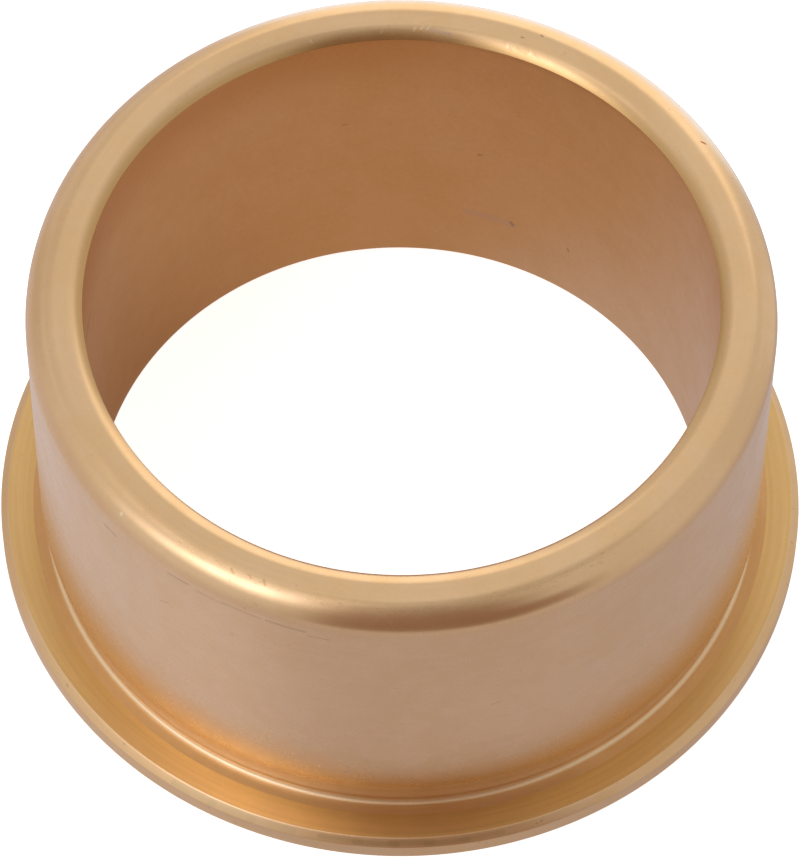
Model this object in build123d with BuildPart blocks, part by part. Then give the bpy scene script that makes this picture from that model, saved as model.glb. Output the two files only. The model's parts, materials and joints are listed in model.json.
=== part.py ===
"""Flanged plain bushing, turned in one piece from solid bronze bar.

+Z runs up the bore, the flange's thrust face lies on Z = 0 and the origin is
on the bore's axis. Sizes are in millimetres. Nominal sizes are inch sizes.
"""

import os

from build123d import *

INCH = 25.4

# Driving dimensions of the bushing
BORE_DIAMETER = 1.375 * INCH
SLEEVE_DIAMETER = 1.625 * INCH
FLANGE_DIAMETER = 1.8125 * INCH
OVERALL_LENGTH = 0.875 * INCH
FLANGE_THICKNESS = 0.0625 * INCH

# Free end of the sleeve: a full outer rounding, a smaller one into the bore
LIP_OUTER_RADIUS = 0.0625 * INCH
LIP_INNER_RADIUS = 0.03125 * INCH

# Edge breaks of the flange
FLANGE_TOP_CHAMFER = 0.015625 * INCH
FLANGE_FOOT_CHAMFER = 0.2
BORE_FOOT_CHAMFER = 0.015625 * INCH

# Relief turned into the corner between sleeve and flange, so that a housing
# with a sharp edge still seats on the flange. It cuts into both surfaces.
RELIEF_LENGTH = 2.2
RELIEF_REACH = 0.5
RELIEF_SLEEVE_DEPTH = 0.58
RELIEF_FLANGE_DEPTH = 0.3
RELIEF_CORNER_RADIUS = 0.3

bore_radius = BORE_DIAMETER / 2
sleeve_radius = SLEEVE_DIAMETER / 2
flange_radius = FLANGE_DIAMETER / 2

# Corners of the half section, before their edges are rounded or chamfered
lip_inner = (bore_radius, OVERALL_LENGTH)
lip_outer = (sleeve_radius, OVERALL_LENGTH)
relief_top = (sleeve_radius, FLANGE_THICKNESS + RELIEF_LENGTH)
relief_corner = (sleeve_radius - RELIEF_SLEEVE_DEPTH, FLANGE_THICKNESS - RELIEF_FLANGE_DEPTH)
relief_edge = (sleeve_radius + RELIEF_REACH, FLANGE_THICKNESS)
flange_top = (flange_radius, FLANGE_THICKNESS)
flange_foot = (flange_radius, 0)
bore_foot = (bore_radius, 0)


def corner(point):
    """The sketch vertex that stands at a corner of the half section."""
    return vertices().sort_by_distance(point)[0]


with BuildPart() as flanged_bushing:
    with BuildSketch(Plane.XZ) as half_section:
        with BuildLine():
            Polyline(
                bore_foot,
                lip_inner,
                lip_outer,
                relief_top,
                relief_corner,
                relief_edge,
                flange_top,
                flange_foot,
                close=True,
            )
        make_face()
        fillet(corner(lip_outer), LIP_OUTER_RADIUS)
        fillet(corner(lip_inner), LIP_INNER_RADIUS)
        fillet(corner(relief_corner), RELIEF_CORNER_RADIUS)
        chamfer(corner(flange_top), FLANGE_TOP_CHAMFER)
        chamfer(corner(flange_foot), FLANGE_FOOT_CHAMFER)
        chamfer(corner(bore_foot), BORE_FOOT_CHAMFER)
    revolve(axis=Axis.Z)

os.makedirs("parts", exist_ok=True)
flanged_bushing.part.label = "flanged_bushing"
export_step(flanged_bushing.part, "parts/flanged_bushing.step")
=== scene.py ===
"""Looks of a one-piece bronze flanged bushing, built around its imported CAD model.

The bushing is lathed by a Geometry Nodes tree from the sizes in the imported
record, and dressed in one bronze finish for each surface that a separate
tool pass leaves: sleeve, lip, bore, relief, flange face, rim and foot.
Lengths are in metres, in the frame of the CAD model.
"""

import json
import logging
import math
from dataclasses import dataclass, field
from enum import Enum
from typing import Any

import bpy
from mathutils import Matrix, Vector


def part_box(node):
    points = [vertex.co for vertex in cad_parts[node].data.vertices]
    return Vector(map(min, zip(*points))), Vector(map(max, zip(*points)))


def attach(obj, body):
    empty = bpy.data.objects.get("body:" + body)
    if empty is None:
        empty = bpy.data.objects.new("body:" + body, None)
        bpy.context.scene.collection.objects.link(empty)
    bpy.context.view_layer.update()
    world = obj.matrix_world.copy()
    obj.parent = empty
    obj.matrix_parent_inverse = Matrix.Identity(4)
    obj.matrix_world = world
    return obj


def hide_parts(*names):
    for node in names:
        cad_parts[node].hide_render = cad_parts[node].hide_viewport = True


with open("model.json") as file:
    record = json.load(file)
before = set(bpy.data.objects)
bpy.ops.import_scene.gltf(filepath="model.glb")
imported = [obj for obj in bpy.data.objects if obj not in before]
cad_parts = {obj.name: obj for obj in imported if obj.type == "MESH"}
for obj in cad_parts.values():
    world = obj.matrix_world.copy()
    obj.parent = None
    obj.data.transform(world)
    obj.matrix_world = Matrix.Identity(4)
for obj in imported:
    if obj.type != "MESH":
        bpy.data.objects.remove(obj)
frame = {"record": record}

LOG = logging.getLogger("bushing")
NODE = "flanged_bushing"
BODY = "root"
MM = 0.001
HAIR = 1e-6
# A fade that starts a metre away, so that nothing on the bushing fades.
NO_FADE = (1.0, 2.0)

Colour = tuple[float, float, float]
Socket = bpy.types.NodeSocket


class NodeBench:
    """A small helper that adds and links nodes in one tree."""

    def __init__(self, tree: bpy.types.NodeTree) -> None:
        """Takes the tree that the nodes go into.

        Args:
            tree: A shader or geometry node tree.
        """
        self.tree = tree

    def add(self, kind: str, **settings: Any) -> bpy.types.Node:
        """Adds a node and sets its properties.

        Args:
            kind: The node's type name.
            **settings: Properties of the node and their values.

        Returns:
            The new node.
        """
        node = self.tree.nodes.new(kind)
        for name, value in settings.items():
            setattr(node, name, value)
        return node

    def feed(self, socket: Socket, value: Any) -> None:
        """Links an output to a socket, or sets the socket's own value.

        Args:
            socket: The input socket.
            value: An output socket or a constant.
        """
        if isinstance(value, Socket):
            self.tree.links.new(value, socket)
        else:
            socket.default_value = value

    def call(self, kind: str, inputs: dict[str | int, Any], **settings: Any) -> bpy.types.Node:
        """Adds a node and feeds its inputs.

        Args:
            kind: The node's type name.
            inputs: Values or output sockets by input name or index.
            **settings: Properties of the node and their values.

        Returns:
            The new node.
        """
        node = self.add(kind, **settings)
        for name, value in inputs.items():
            self.feed(node.inputs[name], value)
        return node

    def result(self, kind: str, inputs: dict[str | int, Any], **settings: Any) -> Socket:
        """Adds a node, feeds its inputs and gives its first output.

        Args:
            kind: The node's type name.
            inputs: Values or output sockets by input name or index.
            **settings: Properties of the node and their values.

        Returns:
            The first output.
        """
        return self.call(kind, inputs, **settings).outputs[0]

    def math(self, operation: str, a: Any, b: Any = 0.0, c: Any = 0.0, held: bool = False) -> Socket:
        """Adds a Math node.

        Args:
            operation: The node's operation.
            a: First value.
            b: Second value.
            c: Third value.
            held: Whether the result is held between 0 and 1.

        Returns:
            The result.
        """
        return self.result("ShaderNodeMath", {0: a, 1: b, 2: c}, operation=operation, use_clamp=held)

    def plus(self, a: Any, b: Any) -> Socket:
        """Adds two numbers."""
        return self.math("ADD", a, b)

    def minus(self, a: Any, b: Any) -> Socket:
        """Takes the second number from the first."""
        return self.math("SUBTRACT", a, b)

    def times(self, first: Any, *others: Any) -> Any:
        """Multiplies numbers.

        Args:
            first: The first number.
            *others: The numbers that it is multiplied by, in turn.

        Returns:
            The product.
        """
        product = first
        for other in others:
            product = self.math("MULTIPLY", product, other)
        return product

    def scaled(self, vector: Any, factor: Any) -> Socket:
        """Multiplies a vector or colour by a number."""
        return self.result("ShaderNodeVectorMath", {0: vector, "Scale": factor}, operation="SCALE")

    def arrow(self, operation: str, a: Any, b: Any = None) -> Socket:
        """Adds a Vector Math node of one or two vectors.

        Args:
            operation: The node's operation.
            a: First vector.
            b: Second vector, where the operation takes one.

        Returns:
            The result, a vector or a number as the operation gives.
        """
        node = self.call("ShaderNodeVectorMath", {0: a}, operation=operation)
        if b is not None:
            self.feed(node.inputs[1], b)
        return next(socket for socket in node.outputs if socket.enabled)

    def noise(self, place: Socket, size: float, detail: float) -> Socket:
        """Adds a noise between 0 and 1.

        Args:
            place: Coordinates.
            size: Length of one cycle.
            detail: Octaves.

        Returns:
            The noise.
        """
        return self.result("ShaderNodeTexNoise", {"Vector": place, "Scale": 1 / size, "Detail": detail})

    def streaks(self, parts: tuple[Socket, Socket, Socket], length: float, width: float) -> Socket:
        """Adds a fine noise that is drawn out round the axis, as a turning tool leaves it.

        Args:
            parts: X, Y and a measure that grows across the turning lines.
            length: Length of one cycle round the axis.
            width: Length of one cycle across the lines.

        Returns:
            The noise, between 0 and 1.
        """
        scaled = (self.times(part, 1 / cycle) for part, cycle in zip(parts, (length, length, width)))
        return self.noise(self.vector(*scaled), 1.0, detail=2.0)

    def vector(self, x: Any, y: Any, z: Any) -> Socket:
        """Joins three numbers into a vector.

        Args:
            x: First component.
            y: Second component.
            z: Third component.

        Returns:
            The vector.
        """
        return self.result("ShaderNodeCombineXYZ", {0: x, 1: y, 2: z})

    def measures(self, place: Socket) -> tuple[Socket, Socket, Socket, Socket]:
        """Splits a place into its parts.

        Args:
            place: Coordinates.

        Returns:
            X, Y, Z and the distance from the Z axis.
        """
        x, y, z = self.call("ShaderNodeSeparateXYZ", {0: place}).outputs
        return x, y, z, self.arrow("LENGTH", self.vector(x, y, 0.0))

    def ramp(self, value: Any, low: Any, high: Any, out_low: Any = 0.0, out_high: Any = 1.0) -> Socket:
        """Maps a value smoothly from one range to another, held at its ends.

        Args:
            value: The value.
            low: Start of its range.
            high: End of its range.
            out_low: The result at the start.
            out_high: The result at the end.

        Returns:
            The mapped value.
        """
        span = {0: value, 1: low, 2: high, 3: out_low, 4: out_high}
        return self.result("ShaderNodeMapRange", span, interpolation_type="SMOOTHSTEP")

    def blend(self, share: Any, first: Any, second: Any) -> Socket:
        """Mixes two colours.

        Args:
            share: How much of the second colour shows.
            first: The first colour.
            second: The second colour.

        Returns:
            The mixed colour.
        """
        node = self.call("ShaderNodeMix", {0: share}, data_type="RGBA")
        sockets = [socket for socket in node.inputs if socket.type == "RGBA"]
        for socket, value in zip(sockets, (first, second)):
            self.feed(socket, value if isinstance(value, Socket) else (*value, 1.0))
        return next(socket for socket in node.outputs if socket.type == "RGBA")


@dataclass(frozen=True)
class BushingSizes:
    """Sizes of the half section, read from the record where it holds them."""

    bore: float
    sleeve: float
    flange: float
    height: float
    flange_top: float
    relief_top: float
    lip_outer: float
    lip_inner: float = 1.3 * MM
    lip_inner_run: float = 0.3775 * MM
    lip_inner_drop: float = 0.264 * MM
    bore_edge: float = 0.015 * MM
    eased_reach: float = 1.95 * MM
    eased_drop: float = 0.26 * MM
    top_chamfer: float = 0.396875 * MM
    rim_foot: float = 0.2 * MM
    bore_foot: float = 0.396875 * MM
    relief_reach: float = 0.5 * MM
    relief_sleeve_depth: float = 0.58 * MM
    relief_flange_depth: float = 0.3 * MM
    relief_corner: float = 0.3 * MM
    relief_shoulder: float = 6.5 * MM
    edge_break: float = 0.035 * MM
    flange_break: float = 0.15 * MM

    @classmethod
    def from_record(cls, record: dict[str, Any], box: tuple[Vector, Vector]) -> "BushingSizes":
        """Reads the sizes that the record's mounts and the node's box give.

        Args:
            record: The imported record.
            box: Lowest and highest corner of the CAD node.

        Returns:
            The sizes.
        """
        mounts = {mount["name"]: mount for mount in record["mounts"]}
        sleeve = mounts["outer_sleeve"]
        half_wall = sleeve["dims"]["length_mm"] * MM / 2
        low, high = box
        height = high.z
        return cls(
            bore=mounts["bore"]["dims"]["r_mm"] * MM,
            sleeve=sleeve["dims"]["r_mm"] * MM,
            flange=min(-low.x, high.x, -low.y, high.y),
            height=height,
            flange_top=mounts["flange_seat"]["pos_m"][2],
            relief_top=sleeve["pos_m"][2] - half_wall,
            lip_outer=height - sleeve["pos_m"][2] - half_wall,
        )


@dataclass(frozen=True)
class Corner:
    """One corner of the half section: its place, its rounding and its arc's points."""

    radius: Any
    height: Any
    rounding: Any
    points: int


class Lathe:
    """The Geometry Nodes tree that turns the bushing from its half section.

    Straight stretches are cut into parts shorter than STEP. The section is
    carried round a circle of PATH_RADIUS, and lies that much further in. The
    lip's inner edge is eased where Y is a large enough share of the radius:
    not at all up to the first share of EASED_BACK, and fully from the second.
    """

    SEGMENTS = 512
    PATH_RADIUS = 1 * MM
    STEP = 0.7 * MM
    EASED_BACK = (0.35, 0.95)
    FACE_WEIGHT = 100

    def __init__(self, sizes: BushingSizes) -> None:
        """Takes the sizes that become the tree's inputs.

        Args:
            sizes: The half section's sizes.
        """
        self.sizes = sizes
        self.tree = bpy.data.node_groups.new("turned_half_section", "GeometryNodeTree")
        self.bench = NodeBench(self.tree)
        self.identifiers: dict[str, str] = {}
        self.source: bpy.types.Node | None = None

    def declare(self) -> None:
        """Gives the tree one named input for each size, and its output."""
        face = self.tree.interface
        for name in self.sizes.__dataclass_fields__:
            socket = face.new_socket(name=name, in_out="INPUT", socket_type="NodeSocketFloat")
            self.identifiers[name] = socket.identifier
        segments = face.new_socket(name="segments", in_out="INPUT", socket_type="NodeSocketInt")
        self.identifiers["segments"] = segments.identifier
        face.new_socket(name="Geometry", in_out="OUTPUT", socket_type="NodeSocketGeometry")
        self.source = self.bench.add("NodeGroupInput")

    def size(self, name: str) -> Socket:
        """The output of the group input for one size."""
        return self.source.outputs[name]

    def outline(self) -> list[Corner]:
        """Lists the half section's corners, from the bore's foot round to the flange's foot.

        Returns:
            The corners in order.
        """
        add, less, size = self.bench.plus, self.bench.minus, self.size
        sharp, soft, fine = size("edge_break"), size("flange_break"), 5
        relief_r = less(size("sleeve"), size("relief_sleeve_depth"))
        relief_z = less(size("flange_top"), size("relief_flange_depth"))
        edge_z = less(size("height"), size("lip_inner_drop"))
        return [
            Corner(size("bore"), size("bore_foot"), sharp, fine),
            Corner(size("bore"), edge_z, size("bore_edge"), 3),
            Corner(add(size("bore"), size("lip_inner_run")), size("height"), size("lip_inner"), 14),
            Corner(size("sleeve"), size("height"), size("lip_outer"), 22),
            Corner(size("sleeve"), size("relief_top"), size("relief_shoulder"), 14),
            Corner(relief_r, relief_z, size("relief_corner"), 12),
            Corner(add(size("sleeve"), size("relief_reach")), size("flange_top"), sharp, fine),
            Corner(less(size("flange"), size("top_chamfer")), size("flange_top"), soft, fine),
            Corner(size("flange"), less(size("flange_top"), size("top_chamfer")), soft, fine),
            Corner(size("flange"), size("rim_foot"), sharp, fine),
            Corner(less(size("flange"), size("rim_foot")), 0.0, sharp, fine),
            Corner(add(size("bore"), size("bore_foot")), 0.0, sharp, fine),
        ]

    def choose(self, kind: str, values: list[Any]) -> Socket:
        """Picks a value by the point's index.

        Args:
            kind: Data type of the values.
            values: One value for each corner.

        Returns:
            The value at each point.
        """
        node = self.bench.add("GeometryNodeIndexSwitch", data_type=kind)
        while len(node.index_switch_items) < len(values):
            node.index_switch_items.new()
        self.bench.feed(node.inputs[0], self.bench.add("GeometryNodeInputIndex").outputs[0])
        for number, value in enumerate(values):
            self.bench.feed(node.inputs[number + 1], value)
        return node.outputs[0]

    def half_section(self) -> Socket:
        """Draws the closed half section, with every corner rounded or broken.

        Returns:
            The section as a curve in the XY plane, centred on the lathe's path.
        """
        bench, corners = self.bench, self.outline()
        places = []
        for corner in corners:
            outward = bench.minus(corner.radius, self.PATH_RADIUS)
            places.append(bench.vector(outward, bench.minus(0.0, corner.height), 0.0))
        line = bench.result("GeometryNodeMeshLine", {"Count": len(corners)})
        chosen = {"Geometry": line, "Position": self.choose("VECTOR", places)}
        placed = bench.result("GeometryNodeSetPosition", chosen)
        curve = bench.result("GeometryNodeMeshToCurve", {"Mesh": placed})
        closed = bench.result("GeometryNodeSetSplineCyclic", {"Geometry": curve, "Cyclic": True})
        arcs = {
            "Curve": closed,
            "Count": self.choose("INT", [corner.points for corner in corners]),
            "Radius": self.choose("FLOAT", [corner.rounding for corner in corners]),
        }
        rounded = bench.result("GeometryNodeFilletCurve", arcs, mode="POLY")
        return self.divided(rounded)

    def divided(self, curve: Socket) -> Socket:
        """Divides the long straight stretches, so that no face is a long sliver.

        Args:
            curve: The rounded half section.

        Returns:
            The curve with more points.
        """
        bench = self.bench
        here = bench.add("GeometryNodeInputPosition").outputs[0]
        after = bench.call("GeometryNodeOffsetPointInCurve", {"Offset": 1}).outputs["Point Index"]
        there = bench.result(
            "GeometryNodeFieldAtIndex",
            {"Value": here, "Index": after},
            data_type="FLOAT_VECTOR",
            domain="POINT",
        )
        gap = bench.arrow("DISTANCE", here, there)
        cuts = bench.math("FLOOR", bench.math("DIVIDE", gap, self.STEP))
        return bench.result("GeometryNodeSubdivideCurve", {"Curve": curve, "Cuts": cuts})

    def swept(self, section: Socket) -> Socket:
        """Carries the half section once round the Z axis.

        Args:
            section: The half section's curve.

        Returns:
            The closed ring.
        """
        bench = self.bench
        path = {"Resolution": self.size("segments"), "Radius": self.PATH_RADIUS}
        circle = bench.result("GeometryNodeCurvePrimitiveCircle", path, mode="RADIUS")
        upright = bench.result("GeometryNodeSetCurveNormal", {"Curve": circle}, mode="Z_UP")
        ring = bench.result("GeometryNodeCurveToMesh", {"Curve": upright, "Profile Curve": section})
        return self.eased(ring)

    def measures(self) -> tuple[Socket, Socket, Socket, Socket]:
        """X, Y, Z and the distance from the axis, at each point or face middle."""
        return self.bench.measures(self.bench.add("GeometryNodeInputPosition").outputs[0])

    def eased(self, ring: Socket) -> Socket:
        """Eases the lip's inner edge a little further at the back, as hand deburring left it.

        Args:
            ring: The turned ring.

        Returns:
            The ring with its eased edge.
        """
        bench, size = self.bench, self.size
        _, y, z, radius = self.measures()
        reach = size("eased_reach")
        beyond = bench.minus(bench.plus(size("bore"), reach), radius)
        inward = bench.math("DIVIDE", beyond, reach, held=True)
        near_top = bench.ramp(z, bench.minus(size("height"), reach), size("height"))
        backward = bench.ramp(bench.math("DIVIDE", y, radius), *self.EASED_BACK)
        depth = bench.times(inward, inward, size("eased_drop"), near_top, backward)
        down = bench.vector(0.0, 0.0, bench.times(depth, -1.0))
        return bench.result("GeometryNodeSetPosition", {"Geometry": ring, "Offset": down})

    def within(self, zone: "Zone") -> Socket:
        """Marks the faces whose middle lies in a zone.

        Args:
            zone: Bounds of radius and height.

        Returns:
            The selection.
        """
        bench = self.bench
        _, _, z, radius = self.measures()
        tests = []
        for value, (low, high) in ((radius, zone.radius), (z, zone.height)):
            tests += [bench.math("GREATER_THAN", value, low), bench.math("LESS_THAN", value, high)]
        return bench.times(*tests)

    def build(self, zones: list["Zone"]) -> None:
        """Completes the tree, ending in one finish for each zone.

        Args:
            zones: Zones in the order in which they are dressed.
        """
        self.declare()
        bench = self.bench
        shape = self.swept(self.half_section())
        shape = bench.result("GeometryNodeSetShadeSmooth", {"Geometry": shape, "Shade Smooth": True})
        shape = bench.result("GeometryNodeRealizeInstances", {"Geometry": shape})
        for zone in zones:
            chosen = {"Geometry": shape, "Selection": self.within(zone), "Material": zone.material}
            shape = bench.result("GeometryNodeSetMaterial", chosen)
        self.tree.links.new(shape, bench.add("NodeGroupOutput").inputs[0])

    def turn(self, name: str) -> bpy.types.Object:
        """Runs the tree and keeps its result as a plain mesh.

        Args:
            name: The piece's name.

        Returns:
            The piece, with no modifier left on it.
        """
        blank = bpy.data.objects.new(name, bpy.data.meshes.new(name))
        bpy.context.scene.collection.objects.link(blank)
        modifier = blank.modifiers.new("lathe", "NODES")
        modifier.node_group = self.tree
        for size, identifier in self.identifiers.items():
            modifier[identifier] = self.SEGMENTS if size == "segments" else getattr(self.sizes, size)
        evened = blank.modifiers.new("even_normals", "WEIGHTED_NORMAL")
        evened.weight = self.FACE_WEIGHT
        graph = bpy.context.evaluated_depsgraph_get()
        mesh = bpy.data.meshes.new_from_object(blank.evaluated_get(graph), depsgraph=graph)
        mesh.name = name
        blank.modifiers.clear()
        blank.data = mesh
        return blank


@dataclass(frozen=True)
class Zone:
    """A band of the surface, by the radius and height of its faces."""

    radius: tuple[float, float]
    height: tuple[float, float]
    material: bpy.types.Material


@dataclass(frozen=True)
class Mark:
    """One small nick, scratch or smudge from handling; three on the rim are painted shade instead.

    Lengths are in millimetres, and azimuth, slope and lean in degrees. The
    slope says how the surface runs there across the turning lines: 0 is
    radial, as on the flange face, and 90 is upright, as on the sleeve. The
    lean turns the stroke from the turning lines towards that direction. The
    core is the share of the width within which the mark is at full strength.
    """

    CORE = 0.3

    azimuth: float
    radius: float
    height: float
    length: float
    width: float
    share: float
    colour: Colour = (0.24, 0.15, 0.11)
    slope: float = 90.0
    lean: float = 0.0
    depth: float = 0.0

    def ends(self) -> tuple[Vector, Vector]:
        """Finds where the stroke lies.

        Returns:
            The stroke's start, and the way from there to its end.
        """
        turn, rise, lean = (math.radians(angle) for angle in (self.azimuth, self.slope, self.lean))
        outward = Vector((math.cos(turn), math.sin(turn), 0.0))
        onward = Vector((-math.sin(turn), math.cos(turn), 0.0))
        across = outward * math.cos(rise) + Vector((0.0, 0.0, math.sin(rise)))
        way = (onward * math.cos(lean) + across * math.sin(lean)) * self.length * MM
        middle = outward * self.radius * MM + Vector((0.0, 0.0, self.height * MM))
        return middle - way / 2, way


def stroke_group() -> bpy.types.NodeTree:
    """Builds, once, the node group that measures how near a point lies to a stroke.

    Returns:
        The group, with the point, the stroke and its width as inputs.
    """
    name = "stroke"
    if name in bpy.data.node_groups:
        return bpy.data.node_groups[name]
    tree = bpy.data.node_groups.new(name, "ShaderNodeTree")
    kinds = {"Place": "Vector", "Start": "Vector", "Way": "Vector", "Width": "Float"}
    for socket, kind in kinds.items():
        tree.interface.new_socket(name=socket, in_out="INPUT", socket_type=f"NodeSocket{kind}")
    tree.interface.new_socket(name="Mask", in_out="OUTPUT", socket_type="NodeSocketFloat")
    bench = NodeBench(tree)
    place, start, way, width = bench.add("NodeGroupInput").outputs[:4]
    offset = bench.arrow("SUBTRACT", place, start)
    reached, whole = (bench.arrow("DOT_PRODUCT", vector, way) for vector in (offset, way))
    along = bench.math("DIVIDE", reached, whole, held=True)
    gap = bench.arrow("DISTANCE", offset, bench.scaled(way, along))
    mask = bench.ramp(gap, bench.times(width, Mark.CORE), width, 1.0, 0.0)
    bench.call("NodeGroupOutput", {"Mask": mask})
    return tree


@dataclass(frozen=True)
class Finish:
    """One bronze finish, as a tool pass, oil film and handling leave it.

    Scales are in metres. Tones are the share by which a pattern lightens
    and darkens the metal. Levels are the values of a noise between which a
    pattern sets in. The edge's tint is full at the first of its two radii or
    heights and gone at the second, and it fades out over edge_fade towards
    edge_fade_azimuth, in degrees; on the lip and the bore this tint is
    painted shade. The pits lie in a ring, at the front: PIT_EDGE is the
    share of its width over which they set in, and PIT_FRONT the place of
    their limits on Y, as shares of its inner radius.
    """

    HAZE_SIZE = 1.3 * MM
    PATCH_SIZE = 6 * MM
    PATCH_HAZE = 0.5
    PATCH_LEVELS = (0.62, 0.92)
    BLOOM_SIZE = 3.4 * MM
    BLOOM_LEVELS = (0.48, 0.72)
    LINE_LENGTH = 9 * MM
    SPECK_SIZE = 0.4 * MM
    PIT_LENGTH = 0.5 * MM
    PIT_WIDTH = 0.09 * MM
    PIT_LEVELS = (0.60, 0.74)
    PIT_SHARE = 0.22
    PIT_EDGE = 0.3
    PIT_FRONT = (-0.6, -0.9)
    DIRT = (0.15, 0.09, 0.055)
    DIRT_ROUGHNESS = 0.25

    name: str
    metal: Colour = (0.80, 0.545, 0.325)
    tarnish: Colour = (0.73, 0.46, 0.22)
    tarnish_share: float = 0.30
    bloom: Colour = (0.80, 0.60, 0.46)
    bloom_share: float = 0.16
    roughness: float = 0.28
    roughness_spread: float = 0.05
    line_pitch: float = 0.25 * MM
    line_depth: float = 0.2e-6
    line_tone: float = 0.03
    grain_size: float = 0.28 * MM
    grain_depth: float = 0.15e-6
    grain_tone: float = 0.03
    speck_share: float = 0.09
    speck_levels: tuple[float, float] = (0.75, 0.79)
    edge_radii: tuple[float, float] = (0.0, 0.0)
    edge_heights: tuple[float, float] = (0.0, 0.0)
    edge_fade: tuple[float, float] = NO_FADE
    edge_fade_azimuth: float = 0.0
    edge_tint: Colour = (0.72, 0.44, 0.18)
    pitted_radii: tuple[float, float] = (0.0, 0.0)
    marks: tuple[Mark, ...] = ()

    def build(self) -> bpy.types.Material:
        """Makes the material.

        Returns:
            The material, with colour, roughness and relief from its nodes.
        """
        material = bpy.data.materials.new(self.name)
        material.use_nodes = True
        bench = NodeBench(material.node_tree)
        shader = material.node_tree.nodes["Principled BSDF"]
        shader.inputs["Metallic"].default_value = 1.0
        place = bench.add("ShaderNodeTexCoord").outputs["Object"]
        x, y, z, radius = bench.measures(place)
        lines = bench.streaks((x, y, bench.minus(z, radius)), self.LINE_LENGTH, self.line_pitch)
        haze = bench.noise(place, self.HAZE_SIZE, detail=2.0)
        grain = bench.noise(place, self.grain_size, detail=2.0)
        dirt = bench.math("MAXIMUM", self.specks(bench, place), self.pits(bench, x, y, radius))
        colour = self.tinted(bench, self.film(bench, place, haze), place, radius, z)
        colour = self.toned(bench, colour, lines, grain)
        colour = bench.blend(dirt, colour, self.DIRT)
        cuts = 0.0
        for mark in self.marks:
            start, way = mark.ends()
            node = bench.add("ShaderNodeGroup", node_tree=stroke_group())
            for socket, value in zip(node.inputs, (place, start, way, mark.width * MM)):
                bench.feed(socket, value)
            share = bench.times(node.outputs[0], mark.share)
            colour = bench.blend(share, colour, mark.colour)
            if mark.depth:
                cuts = bench.plus(cuts, bench.times(node.outputs[0], -mark.depth))
        bench.feed(shader.inputs["Base Color"], colour)
        least = self.roughness - self.roughness_spread
        spread = bench.math("MULTIPLY_ADD", haze, 2 * self.roughness_spread, least)
        dulled = bench.math("MULTIPLY_ADD", dirt, self.DIRT_ROUGHNESS, spread)
        bench.feed(shader.inputs["Roughness"], dulled)
        relief = bench.math("MULTIPLY_ADD", lines, self.line_depth / MM, cuts)
        relief = bench.math("MULTIPLY_ADD", grain, self.grain_depth / MM, relief)
        bump = bench.result("ShaderNodeBump", {"Strength": 1.0, "Distance": MM, "Height": relief})
        bench.feed(shader.inputs["Normal"], bump)
        return material

    def film(self, bench: NodeBench, place: Socket, haze: Socket) -> Socket:
        """Gives the metal's colour under its thin, uneven film of oil and tarnish.

        Args:
            bench: The material's nodes.
            place: Object coordinates.
            haze: A fine noise that breaks up the patches.

        Returns:
            The colour.
        """
        broad = bench.noise(place, self.PATCH_SIZE, detail=3.0)
        patches = bench.math("MULTIPLY_ADD", haze, self.PATCH_HAZE, broad)
        tarnished = bench.ramp(patches, *self.PATCH_LEVELS, 0.0, self.tarnish_share)
        colour = bench.blend(tarnished, self.metal, self.tarnish)
        cloud = bench.noise(place, self.BLOOM_SIZE, detail=3.0)
        bloomed = bench.ramp(cloud, *self.BLOOM_LEVELS, 0.0, self.bloom_share)
        return bench.blend(bloomed, colour, self.bloom)

    def tinted(
        self, bench: NodeBench, colour: Socket, place: Socket, radius: Socket, height: Socket
    ) -> Socket:
        """Tints a colour darker towards the finish's edge: painted shade at the lip's inner edge and
        the bore's top, and a slight darkening towards the flange face's outer edge.

        Args:
            bench: The material's nodes.
            colour: The colour.
            place: Object coordinates.
            radius: Distance from the axis.
            height: Height above the foot.

        Returns:
            The tinted colour.
        """
        turn = math.radians(self.edge_fade_azimuth)
        for measure, (full, none) in ((radius, self.edge_radii), (height, self.edge_heights)):
            if full != none:
                near = bench.ramp(measure, full, none, 1.0, 0.0)
                along = bench.arrow("DOT_PRODUCT", place, (math.cos(turn), math.sin(turn), 0.0))
                share = bench.times(near, bench.ramp(along, *self.edge_fade, 1.0, 0.0))
                # On the lip and the bore this blend is painted shade at the edge.
                colour = bench.blend(share, colour, self.edge_tint)
        return colour

    def toned(self, bench: NodeBench, colour: Socket, lines: Socket, grain: Socket) -> Socket:
        """Lightens and darkens a colour by the turning lines and the grain.

        Args:
            bench: The material's nodes.
            colour: The colour.
            lines: The turning lines.
            grain: The grain.

        Returns:
            The toned colour.
        """
        level = 1 - self.line_tone - self.grain_tone
        tone = bench.math("MULTIPLY_ADD", lines, 2 * self.line_tone, level)
        tone = bench.math("MULTIPLY_ADD", grain, 2 * self.grain_tone, tone)
        return bench.scaled(colour, tone)

    def specks(self, bench: NodeBench, place: Socket) -> Socket:
        """Sparse dark specks in the pores of the metal."""
        noise = bench.noise(place, self.SPECK_SIZE, detail=1.0)
        return bench.ramp(noise, *self.speck_levels, 0.0, self.speck_share)

    def pits(self, bench: NodeBench, x: Socket, y: Socket, radius: Socket) -> Socket | float:
        """Fine dark pits, drawn out along the turning lines, within a ring.

        Args:
            bench: The material's nodes.
            x: Object coordinate.
            y: Object coordinate.
            radius: Distance from the axis.

        Returns:
            The pits' share, which is zero if the finish has none.
        """
        inner, outer = self.pitted_radii
        if outer <= inner:
            return 0.0
        noise = bench.streaks((x, y, radius), self.PIT_LENGTH, self.PIT_WIDTH)
        soft = self.PIT_EDGE * (outer - inner)
        return bench.times(
            bench.ramp(noise, *self.PIT_LEVELS, 0.0, self.PIT_SHARE),
            bench.ramp(radius, inner, inner + soft),
            bench.ramp(radius, outer - soft, outer, 1.0, 0.0),
            bench.ramp(y, *(share * inner for share in self.PIT_FRONT)),
        )


PALE = (1.0, 0.84, 0.62)
GREY = (0.55, 0.43, 0.36)
TICK = (0.50, 0.29, 0.14)
STAIN = (0.48, 0.34, 0.17)

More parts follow.
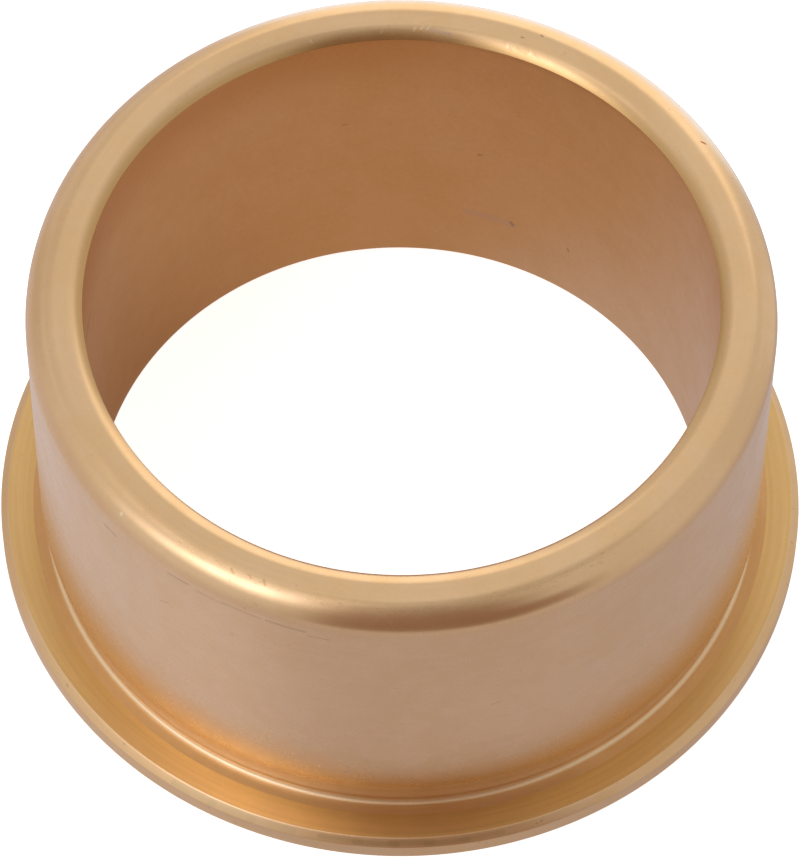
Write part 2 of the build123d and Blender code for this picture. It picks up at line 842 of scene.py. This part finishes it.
SLEEVE_MARKS = (
    Mark(221, 20.64, 19.7, 0.9, 0.13, 0.40),
    Mark(235, 20.64, 20.4, 1.3, 0.12, 0.34, lean=6),
    Mark(241, 20.64, 20.3, 1.8, 0.14, 0.16),
    Mark(246, 20.64, 20.4, 2.2, 0.15, 0.18, lean=-3),
    Mark(253, 20.64, 20.3, 2.2, 0.13, 0.30, lean=-2),
    Mark(258, 20.64, 19.9, 1.2, 0.08, 0.25),
    Mark(232, 20.64, 16.8, 0.7, 0.10, 0.20, lean=30),
    Mark(262, 20.64, 5.3, 0.25, 0.10, 0.50, (0.42, 0.40, 0.48), lean=40),
    Mark(285, 20.64, 12.5, 0.6, 0.07, 0.25, lean=20),
)
LIP_MARKS = (
    Mark(243, 19.55, 22.15, 0.28, 0.10, 0.50, TICK, 0, 40),
    Mark(246, 19.45, 22.18, 0.20, 0.09, 0.40, TICK, 0, 40),
    Mark(248.5, 19.50, 22.17, 0.30, 0.11, 0.55, TICK, 0, 55),
    Mark(222.5, 20.15, 21.65, 0.30, 0.16, 0.55, PALE, 30, 80, 1e-3),
    Mark(88.1, 17.98, 22.05, 0.45, 0.07, 0.50, PALE, 0, -60),
    Mark(86.8, 18.06, 22.08, 0.55, 0.06, 0.50, PALE, 0, -60),
    Mark(85.6, 18.10, 22.08, 0.45, 0.06, 0.50, PALE, 0, -60),
    Mark(83.5, 17.92, 22.05, 1.10, 0.22, 0.35, GREY, 0, 8),
    Mark(94, 17.85, 22.0, 0.35, 0.09, 0.30, PALE, 0, -60),
    Mark(107, 17.90, 22.0, 0.30, 0.09, 0.30, PALE, 0, 60),
    Mark(71, 17.90, 22.0, 0.22, 0.12, 0.22, PALE, 0, 70),
    Mark(70.2, 17.75, 21.95, 0.25, 0.10, 0.40, TICK, 0, 40),
    Mark(68.6, 17.85, 22.0, 0.40, 0.10, 0.45, TICK, 0, 20),
    Mark(67.4, 17.72, 21.95, 0.30, 0.11, 0.40, TICK, 0, 60),
    Mark(66.6, 17.95, 22.0, 0.20, 0.12, 0.22, PALE, 0, 75),
    Mark(65, 17.80, 22.0, 0.50, 0.10, 0.40, TICK, 0, 25),
    Mark(69, 18.60, 22.2, 0.12, 0.08, 0.60, (0.25, 0.16, 0.10), 0),
    Mark(66, 19.10, 22.2, 0.12, 0.08, 0.50, (0.25, 0.16, 0.10), 0),
    Mark(31.8, 19.65, 22.1, 0.28, 0.09, 0.90, (0.36, 0.07, 0.03), 0, -40, 1e-3),
    Mark(24, 20.0, 21.85, 0.10, 0.08, 0.60, (0.25, 0.16, 0.10), 0),
)
BORE_MARKS = (
    Mark(73, 17.46, 4.9, 2.8, 0.45, 0.40, (0.66, 0.50, 0.48), lean=4),
    Mark(68.4, 17.46, 4.9, 0.25, 0.16, 0.45, lean=60),
    Mark(75.2, 17.46, 11.1, 0.15, 0.14, 0.40),
    Mark(56.2, 17.46, 4.8, 0.25, 0.12, 0.35, lean=70),
    Mark(64.4, 17.46, 14.5, 0.5, 0.20, 0.20, (0.60, 0.46, 0.44)),
    Mark(175.5, 17.46, 16.8, 1.4, 0.55, 0.35, (0.45, 0.25, 0.15), lean=15),
    Mark(101, 17.46, 13.7, 0.20, 0.12, 0.25),
)
RIM_MARKS_AND_SHADE = (
    # The first three marks are painted shade: a duller band that dims the key light's reflection on the
    # chamfer at the front-left.
    Mark(240, 22.82, 1.39, 2.6, 0.30, 0.45, (0.60, 0.43, 0.24)),
    Mark(246, 22.82, 1.39, 2.6, 0.30, 0.50, (0.60, 0.43, 0.24)),
    Mark(252, 22.82, 1.39, 2.6, 0.30, 0.45, (0.60, 0.43, 0.24)),
    Mark(262, 22.80, 1.41, 2.4, 0.20, 0.28, STAIN),
    Mark(267, 22.84, 1.37, 2.4, 0.22, 0.40, STAIN),
    Mark(272, 22.80, 1.41, 2.4, 0.24, 0.42, STAIN),
    Mark(277, 22.84, 1.37, 2.4, 0.22, 0.40, STAIN),
    Mark(282, 22.80, 1.41, 2.4, 0.20, 0.25, STAIN),
)


class Pass(Enum):
    """The tool passes that leave a finish of their own."""

    SLEEVE = Finish("turned_sleeve_bronze", marks=SLEEVE_MARKS)
    LIP = Finish(
        "polished_lip_bronze",
        metal=(0.79, 0.54, 0.315),
        bloom_share=0.08,
        roughness=0.26,
        line_pitch=0.22 * MM,
        line_depth=0.3e-6,
        # The darker tint at the inner edge is painted shade, faded out towards the front.
        edge_radii=(17.45 * MM, 18.2 * MM),
        edge_fade=(2 * MM, 15 * MM),
        edge_fade_azimuth=270.0,
        edge_tint=(0.58, 0.355, 0.15),
        pitted_radii=(19.15 * MM, 19.95 * MM),
        marks=LIP_MARKS,
    )
    BORE = Finish(
        "reamed_bore_bronze",
        metal=(0.80, 0.54, 0.325),
        roughness=0.30,
        grain_size=0.3 * MM,
        grain_tone=0.06,
        line_tone=0.015,
        # The darker tint at the top of the bore is painted shade, faded out towards the right.
        edge_heights=(21.8 * MM, 15.8 * MM),
        edge_fade=(-3 * MM, 8 * MM),
        edge_tint=(0.69, 0.395, 0.19),
        marks=BORE_MARKS,
    )
    RELIEF = Finish(
        "relief_cut_bronze",
        metal=(0.83, 0.605, 0.375),
        tarnish_share=0.15,
        roughness=0.35,
        line_pitch=0.15 * MM,
        line_tone=0.06,
    )
    FACE = Finish(
        "faced_flange_bronze",
        metal=(0.735, 0.48, 0.205),
        bloom_share=0.05,
        roughness=0.35,
        line_pitch=0.18 * MM,
        line_tone=0.12,
        edge_radii=(21.0 * MM, 22.4 * MM),
        edge_tint=(0.70, 0.45, 0.185),
    )
    RIM = Finish(
        "rim_bronze",
        metal=(0.77, 0.515, 0.285),
        roughness=0.36,
        grain_depth=0.5e-6,
        speck_share=0.25,
        speck_levels=(0.72, 0.76),
        marks=RIM_MARKS_AND_SHADE,
    )
    FOOT = Finish("faced_foot_bronze", roughness=0.30, line_tone=0.05)


@dataclass
class Bushing:
    """The turned bushing: one solid piece of bearing bronze."""

    sizes: BushingSizes
    pieces: list[bpy.types.Object] = field(default_factory=list)

    def zones(self) -> list[Zone]:
        """Divides the surface by tool pass.

        Returns:
            The zones, in the order in which they are dressed.
        """
        size, everywhere = self.sizes, 1.0
        made = {step: step.value.build() for step in Pass}
        wall_middle = (size.bore + size.sleeve) / 2
        relief_edge = size.sleeve + size.relief_reach
        seat, lip_foot = size.flange_top, size.height - size.lip_outer
        return [
            Zone((0, everywhere), (-everywhere, everywhere), made[Pass.FOOT]),
            Zone((relief_edge, everywhere), (seat - HAIR, everywhere), made[Pass.FACE]),
            Zone((wall_middle, relief_edge), (size.relief_top, everywhere), made[Pass.SLEEVE]),
            Zone((size.bore + HAIR, everywhere), (lip_foot, everywhere), made[Pass.LIP]),
            Zone((0, size.bore + HAIR), (size.bore_foot, everywhere), made[Pass.BORE]),
            Zone((wall_middle, relief_edge), (HAIR, size.relief_top), made[Pass.RELIEF]),
            Zone((size.flange - size.top_chamfer, everywhere), (HAIR, seat - HAIR), made[Pass.RIM]),
        ]

    def make(self) -> None:
        """Turns the bushing, puts it on its body and in place of the CAD node."""
        lathe = Lathe(self.sizes)
        lathe.build(self.zones())
        ring = lathe.turn("bronze_bushing")
        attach(ring, BODY)
        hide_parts(NODE)
        self.pieces.append(ring)


@dataclass(frozen=True)
class Window:
    """A soft-edged patch of the studio, by its directions as seen from the object.

    Angles are in degrees: azimuth 0 is +X and 90 is +Y.
    """

    azimuth: float
    elevation: float
    half_width: float
    half_height: float
    soft: float
    radiance: Colour

    def mask(self, bench: NodeBench, azimuth: Socket, elevation: Socket) -> Socket:
        """How far a direction lies inside the patch.

        Args:
            bench: The world's nodes.
            azimuth: The direction's azimuth.
            elevation: The direction's elevation.

        Returns:
            A share between 0 and 1.
        """
        turned = bench.math("WRAP", bench.minus(azimuth, self.azimuth), 180.0, -180.0)
        sideways = bench.math("ABSOLUTE", turned)
        upward = bench.math("ABSOLUTE", bench.minus(elevation, self.elevation))
        spans = ((sideways, self.half_width), (upward, self.half_height))
        return bench.times(
            *(bench.ramp(gap, half - self.soft, half + self.soft, 1.0, 0.0) for gap, half in spans)
        )


@dataclass(frozen=True)
class Tent:
    """The light tent: a pale dome over a pale table, with its windows and flags.

    The spans are the elevations, in degrees, over which the table passes
    from its near colour to its far one, and the table into the dome.
    """

    plain: Colour = (1.0, 1.0, 1.0)
    dome: Colour = (0.75, 0.73, 0.705)
    table_far: Colour = (0.65, 0.61, 0.60)
    table_near: Colour = (0.54, 0.495, 0.515)
    table_span: tuple[float, float] = (-52.0, -4.0)
    horizon_span: tuple[float, float] = (-2.0, 4.0)
    windows: tuple[Window, ...] = (
        Window(150, -45, 80, 50, 20, (0.69, 0.65, 0.68)),
        Window(350, 25, 60, 40, 15, (0.69, 0.67, 0.64)),
        Window(35, 0, 12, 32, 8, (0.79, 0.77, 0.74)),
        Window(0, 90, 200, 19, 7, (0.49, 0.465, 0.425)),
        Window(118, 46, 23, 15, 8, (0.66, 0.63, 0.585)),
        Window(148, 12, 12, 20, 6, (0.62, 0.57, 0.52)),
        Window(108, 71, 30, 7, 5, (0.90, 0.87, 0.82)),
        Window(190, 75, 52, 10, 6, (1.22, 1.18, 1.13)),
        Window(213, 25, 22, 38, 12, (0.79, 0.78, 0.775)),
        Window(217, 52, 23, 25, 9, (1.36, 1.36, 1.37)),
        Window(220, 54, 14, 14, 8, (2.85, 2.85, 3.10)),
        Window(79, 16, 21, 32, 6, (1.40, 1.33, 1.20)),
        Window(79, -16, 23, 20, 6, (1.20, 1.38, 1.70)),
        Window(272, 78, 38, 18, 9, (0.34, 0.28, 0.23)),
        Window(278, 60, 29, 17, 8, (0.335, 0.265, 0.215)),
        Window(303, 5, 12, 18, 5, (0.34, 0.235, 0.18)),
        Window(276, 19, 27, 37, 6, (0.30, 0.20, 0.155)),
    )

    def raise_world(self) -> bpy.types.World:
        """Builds the world from the tent.

        Returns:
            The world, plain where the camera sees it directly.
        """
        world = bpy.data.worlds.new("light_tent")
        world.use_nodes = True
        bench = NodeBench(world.node_tree)
        background = world.node_tree.nodes["Background"]
        place = bench.add("ShaderNodeTexCoord").outputs["Generated"]
        x, y, z = bench.call("ShaderNodeSeparateXYZ", {0: place}).outputs
        to_degrees = math.degrees(1.0)
        azimuth = bench.times(bench.math("ARCTAN2", y, x), to_degrees)
        elevation = bench.times(bench.math("ARCSINE", z), to_degrees)
        table = bench.blend(bench.ramp(elevation, *self.table_span), self.table_near, self.table_far)
        light = bench.blend(bench.ramp(elevation, *self.horizon_span), table, self.dome)
        for window in self.windows:
            light = bench.blend(window.mask(bench, azimuth, elevation), light, window.radiance)
        seen = bench.add("ShaderNodeLightPath").outputs["Is Camera Ray"]
        bench.feed(background.inputs["Color"], bench.blend(seen, light, self.plain))
        return world


@dataclass(frozen=True)
class Studio:
    """A pale floor, the light tent, a warm card under the bore, and the camera.

    The camera's distance, side and lift are in units of the sleeve's radius.
    The card glows by a measure that runs to the right and, by GLOW_SLANT, to
    the back. The spans of that measure are shares of the bore's radius.
    """

    GLOW_SLANT = 0.3
    GLOW_BACK_SPAN = (-1.0, 0.15)
    GLOW_RIGHT_SPAN = (0.3, 1.0)
    CARD_POINTS = 96
    SENSOR_WIDTH = 36.0
    CLIP = (0.01, 10.0)

    target: Vector
    unit: float
    tent: Tent = Tent()
    floor_colour: Colour = (0.90, 0.90, 0.90)
    floor_glow: float = 0.80
    floor_roughness: float = 0.9
    floor_reach: float = 3.0
    floor_gap: float = 0.02 * MM
    bore_radius: float = 17.4 * MM
    bore_glow_left: Colour = (0.30, 0.17, 0.095)
    bore_glow_back: Colour = (0.48, 0.32, 0.205)
    bore_glow_right: Colour = (0.55, 0.46, 0.43)
    camera_elevation: float = 58.54
    camera_roll: float = 0.0083
    camera_distance: float = 15.8637
    camera_side: float = 0.002
    camera_lift: float = 0.073
    lens: float = 243.8

    def lay(self, name: str, outline: list[Vector], material: bpy.types.Material) -> bpy.types.Object:
        """Lays a flat stage piece.

        Args:
            name: The piece's name.
            outline: Its corners in order.
            material: Its material.

        Returns:
            The piece.
        """
        mesh = bpy.data.meshes.new(name)
        mesh.from_pydata(outline, [], [tuple(range(len(outline)))])
        mesh.materials.append(material)
        piece = bpy.data.objects.new(name, mesh)
        bpy.context.scene.collection.objects.link(piece)
        return piece

    def floor_material(self) -> bpy.types.Material:
        """Makes the floor's matt paper, which glows a little so that it stays pale.

        Returns:
            The material.
        """
        material = bpy.data.materials.new("pale_floor")
        material.use_nodes = True
        shader = material.node_tree.nodes["Principled BSDF"]
        shader.inputs["Base Color"].default_value = (*self.floor_colour, 1.0)
        shader.inputs["Roughness"].default_value = self.floor_roughness
        shader.inputs["Specular IOR Level"].default_value = 0.0
        shader.inputs["Emission Color"].default_value = (1.0, 1.0, 1.0, 1.0)
        shader.inputs["Emission Strength"].default_value = self.floor_glow
        return material

    def bore_glow_material(self) -> bpy.types.Material:
        """Makes the warm light that the table under the bore sends back, strongest at the right.

        Returns:
            The material.
        """
        material = bpy.data.materials.new("bore_glow")
        material.use_nodes = True
        material.node_tree.nodes.clear()
        bench = NodeBench(material.node_tree)
        place = bench.add("ShaderNodeTexCoord").outputs["Object"]
        x, y, _ = bench.call("ShaderNodeSeparateXYZ", {0: place}).outputs
        along = bench.plus(x, bench.times(y, self.GLOW_SLANT))
        back, right = (
            bench.ramp(along, low * self.bore_radius, high * self.bore_radius)
            for low, high in (self.GLOW_BACK_SPAN, self.GLOW_RIGHT_SPAN)
        )
        colour = bench.blend(back, self.bore_glow_left, self.bore_glow_back)
        colour = bench.blend(right, colour, self.bore_glow_right)
        emission = bench.result("ShaderNodeEmission", {"Color": colour, "Strength": 1.0})
        bench.call("ShaderNodeOutputMaterial", {"Surface": emission})
        material.cycles.emission_sampling = "NONE"
        return material

    def light(self) -> None:
        """Raises the tent, lays the floor, and puts the warm card under the bore."""
        scene = bpy.context.scene
        scene.view_settings.view_transform = "Standard"
        scene.world = self.tent.raise_world()
        corners = [(-1, -1), (1, -1), (1, 1), (-1, 1)]
        reach, gap = self.floor_reach, self.floor_gap
        outline = [Vector((reach * x, reach * y, -gap)) for x, y in corners]
        floor = self.lay("floor", outline, self.floor_material())
        floor.visible_glossy = False
        floor.visible_shadow = False
        radius, points = self.bore_radius, self.CARD_POINTS
        turns = [2 * math.pi * step / points for step in range(points)]
        disc = [Vector((radius * math.cos(turn), radius * math.sin(turn), -2 * gap)) for turn in turns]
        card = self.lay("card_under_bore", disc, self.bore_glow_material())
        card.visible_camera = False
        card.visible_diffuse = False

    def shoot(self) -> None:
        """Places the camera above the front, looking down into the bore."""
        data = bpy.data.cameras.new("camera")
        data.lens, data.sensor_width = self.lens, self.SENSOR_WIDTH
        data.clip_start, data.clip_end = self.CLIP
        camera = bpy.data.objects.new("camera", data)
        bpy.context.scene.collection.objects.link(camera)
        rise = math.radians(self.camera_elevation)
        forward = Vector((0, math.cos(rise), -math.sin(rise)))
        level_up = Vector((0, math.sin(rise), math.cos(rise)))
        across = Vector((1, 0, 0))
        roll = self.camera_roll
        right = across * math.cos(roll) + level_up * math.sin(roll)
        upward = level_up * math.cos(roll) - across * math.sin(roll)
        shift = right * self.camera_side + upward * self.camera_lift
        place = self.target - (forward * self.camera_distance + shift) * self.unit
        turned = Matrix((right, upward, -forward)).transposed().to_4x4()
        camera.matrix_world = Matrix.Translation(place) @ turned
        bpy.context.scene.camera = camera


def main() -> None:
    """Builds the bushing and the studio, and writes how large the model is."""
    logging.basicConfig(level=logging.INFO, format="%(name)s: %(message)s")
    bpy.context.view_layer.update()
    bushing = Bushing(BushingSizes.from_record(frame["record"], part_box(NODE)))
    bushing.make()
    for piece in bushing.pieces:
        LOG.info("%s has %d faces", piece.name, len(piece.data.polygons))
    studio = Studio(target=Vector((0, 0, bushing.sizes.height / 2)), unit=bushing.sizes.sleeve)
    studio.light()
    studio.shoot()


if __name__ == "__main__":
    main()
